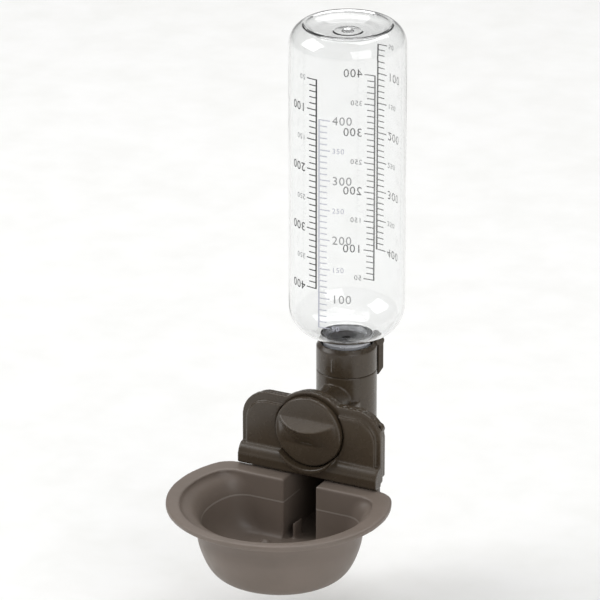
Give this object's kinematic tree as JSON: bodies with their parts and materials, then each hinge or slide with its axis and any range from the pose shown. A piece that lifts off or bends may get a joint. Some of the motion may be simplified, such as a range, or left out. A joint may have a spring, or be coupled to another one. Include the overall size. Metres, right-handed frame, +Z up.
{
  "type": "cage-mounted rabbit water bottle",
  "caption": "Inverted clear bottle that plugs into a clamp-on tube and feeds a drinking bowl through a channel under the clamp; a round knob grips the cage wires.",
  "frame": {"origin": "centre of the clamp, where the screw's axis meets the rear plate's clamping face", "axes": "+Z up along the bottle; -Y along the clamp screw towards the bowl inside the cage; +X to the right seen from the bowl"},
  "size_m": [0.1204, 0.1712, 0.2845],
  "materials": {
    "clear_pet": "clear blown plastic",
    "dark_moulding": "glossy moulded plastic",
    "bowl_moulding": "satin moulded plastic",
    "seal_rubber": "moulded rubber",
    "valve_acetal": "dark grey acetal",
    "spring_steel": "stainless steel"
  },
  "bodies": {
    "holder": {"housing": "dark_moulding", "rear_plate": "dark_moulding", "rear_plate_screws": "spring_steel", "clamp_nut": "spring_steel", "valve_opener": "valve_acetal", "outlet_spout": "dark_moulding", "spout_seal": "seal_rubber"},
    "clamp_front": {"front_plate": "dark_moulding", "thrust_washer": "valve_acetal"},
    "clamp_knob": {"knob": "dark_moulding", "clamp_screw": "spring_steel", "retaining_clip": "spring_steel"},
    "drinking_bowl": {"bowl": "bowl_moulding"},
    "cap": {"bottle_cap": "dark_moulding", "cap_o_ring": "seal_rubber", "valve_cage": "valve_acetal", "valve_spring": "spring_steel"},
    "valve": {"valve_plunger": "valve_acetal", "valve_washer": "seal_rubber"},
    "mouth_seal": {"neck_seal": "seal_rubber"},
    "water_bottle": {"bottle": "clear_pet"}
  },
  "joints": [
    {"name": "clamp_slide", "type": "slide", "parent": "holder", "child": "clamp_front", "axis": [0, -1, 0], "range_m": [0, 0.01]},
    {"name": "knob_turn", "type": "hinge", "parent": "clamp_front", "child": "clamp_knob", "pos_m": [0, 0, 0], "axis": [0, -1, 0], "range_deg": [0, 901]},
    {"name": "bowl_drop", "type": "slide", "parent": "holder", "child": "drinking_bowl", "axis": [0, 0, -1], "range_m": [0, 0.035]},
    {"name": "cap_lift", "type": "slide", "parent": "holder", "child": "cap", "axis": [0, 0, 1], "range_m": [0, 0.05]},
    {"name": "valve_close", "type": "slide", "parent": "cap", "child": "valve", "axis": [0, 0, -1], "range_m": [0, 0.0031], "deforming": ["valve_spring"]},
    {"name": "bottle_rise", "type": "slide", "parent": "cap", "child": "mouth_seal", "axis": [0, 0, 1], "range_m": [0, 0.01]},
    {"name": "bottle_unscrew", "type": "hinge", "parent": "mouth_seal", "child": "water_bottle", "pos_m": [0, 0.0385, 0.024], "axis": [0, 0, 1], "range_deg": [0, 901]}
  ],
  "couplings": [
    {"joint": "knob_turn", "follows": "clamp_slide", "rad_per_m": 1570.8},
    {"joint": "valve_close", "follows": "cap_lift", "ratio": 0.06},
    {"joint": "bottle_unscrew", "follows": "bottle_rise", "rad_per_m": 1570.8}
  ]
}
